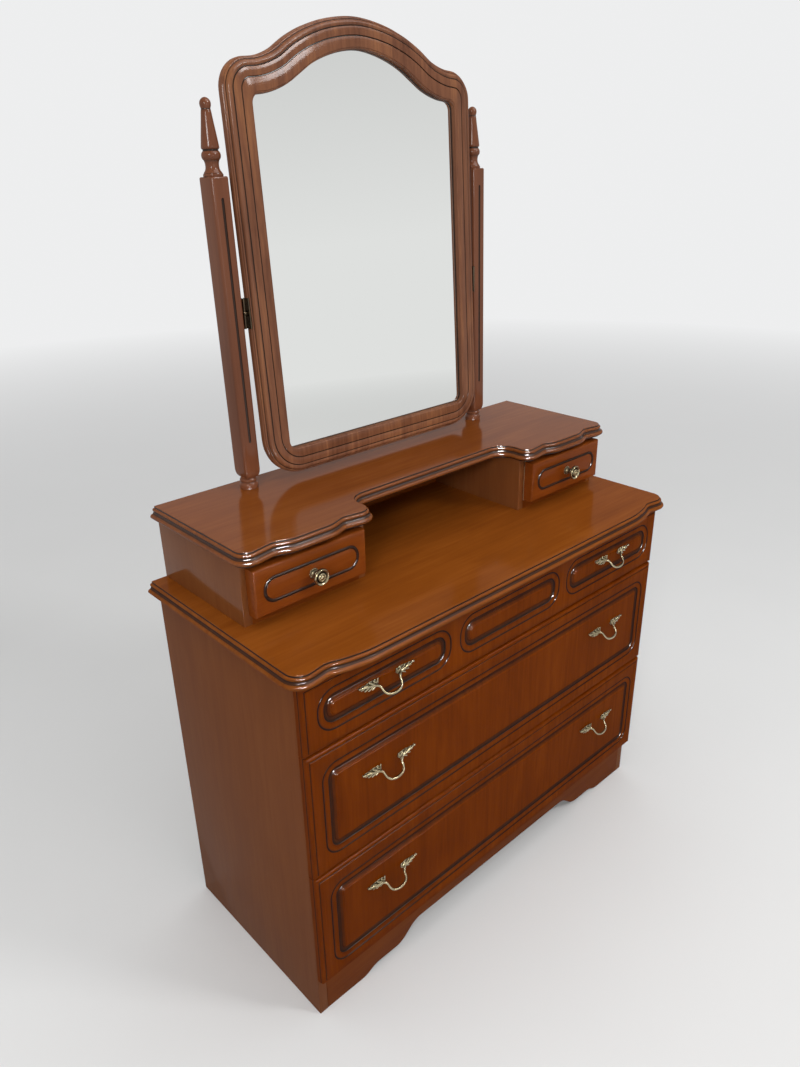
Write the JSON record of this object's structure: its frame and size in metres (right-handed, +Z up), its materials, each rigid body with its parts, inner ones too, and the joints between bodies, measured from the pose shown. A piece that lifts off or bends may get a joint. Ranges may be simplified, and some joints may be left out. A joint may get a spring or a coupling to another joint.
{
  "type": "dresser with mirror",
  "caption": "Free-standing wooden dresser with full-width drawers, a gallery of small drawers on top and a tilting arched mirror between turned posts.",
  "frame": {"origin": "centre of the bounding box's bottom face, on the floor", "axes": "+Z up, -Y out of the drawer fronts, +X to the right seen from the front"},
  "size_m": [0.969, 0.433, 1.5826],
  "materials": {
    "case_wood": "glossy red-brown stained hardwood with a lacquer coat",
    "front_wood": "glossy orange-brown stained hardwood with dark glaze in the grooves",
    "tray_wood": "plain pale softwood, unstained",
    "back_board": "plain brown hardboard",
    "mirror_glass": "silvered flat glass",
    "antique_brass": "antique cast brass, dark in the recesses",
    "pivot_metal": "dull plated metal"
  },
  "bodies": {
    "root": {"back_panel": "back_board", "base_board": "case_wood", "finial_left": "case_wood", "finial_right": "case_wood", "gallery_back": "case_wood", "gallery_base_left": "case_wood", "gallery_base_right": "case_wood", "gallery_side_inner_left": "case_wood", "gallery_side_inner_right": "case_wood", "gallery_side_outer_left": "case_wood", "gallery_side_outer_right": "case_wood", "gallery_top": "case_wood", "main_top": "case_wood", "plinth_board": "case_wood", "post_left": "case_wood", "post_plate_left": "pivot_metal", "post_plate_right": "pivot_metal", "post_right": "case_wood", "rail_lower": "case_wood", "rail_upper": "case_wood", "runners_lower": "tray_wood", "runners_upper": "tray_wood", "side_left": "case_wood", "side_right": "case_wood"},
    "drawer_lower": {"drawer_lower_back": "tray_wood", "drawer_lower_bottom": "tray_wood", "drawer_lower_front": "front_wood", "drawer_lower_sides": "tray_wood", "handle_lower_left": "antique_brass", "handle_lower_right": "antique_brass"},
    "drawer_middle": {"drawer_middle_back": "tray_wood", "drawer_middle_bottom": "tray_wood", "drawer_middle_front": "front_wood", "drawer_middle_sides": "tray_wood", "handle_middle_left": "antique_brass", "handle_middle_right": "antique_brass"},
    "drawer_upper": {"drawer_upper_back": "tray_wood", "drawer_upper_bottom": "tray_wood", "drawer_upper_front": "front_wood", "drawer_upper_sides": "tray_wood", "handle_upper_left": "antique_brass", "handle_upper_right": "antique_brass"},
    "mirror": {"frame_plate_left": "pivot_metal", "frame_plate_right": "pivot_metal", "mirror_backing": "back_board", "mirror_frame": "case_wood", "mirror_glass": "mirror_glass"},
    "small_drawer_left": {"knob_left": "antique_brass", "small_drawer_left_back": "tray_wood", "small_drawer_left_bottom": "tray_wood", "small_drawer_left_front": "front_wood", "small_drawer_left_sides": "tray_wood"},
    "small_drawer_right": {"knob_right": "antique_brass", "small_drawer_right_back": "tray_wood", "small_drawer_right_bottom": "tray_wood", "small_drawer_right_front": "front_wood", "small_drawer_right_sides": "tray_wood"}
  },
  "joints": [
    {"name": "slide_drawer_upper", "type": "slide", "parent": "root", "child": "drawer_upper", "axis": [0, -1, 0], "range_m": [0, 0.3]},
    {"name": "slide_drawer_middle", "type": "slide", "parent": "root", "child": "drawer_middle", "axis": [0, -1, 0], "range_m": [0, 0.3]},
    {"name": "slide_drawer_lower", "type": "slide", "parent": "root", "child": "drawer_lower", "axis": [0, -1, 0], "range_m": [0, 0.3]},
    {"name": "slide_small_drawer_left", "type": "slide", "parent": "root", "child": "small_drawer_left", "axis": [0, -1, 0], "range_m": [0, 0.16]},
    {"name": "slide_small_drawer_right", "type": "slide", "parent": "root", "child": "small_drawer_right", "axis": [0, -1, 0], "range_m": [0, 0.16]},
    {"name": "mirror_tilt", "type": "hinge", "parent": "root", "child": "mirror", "pos_m": [0, 0.1685, 1.15], "axis": [1, 0, 0], "range_deg": [-20, 25]}
  ]
}
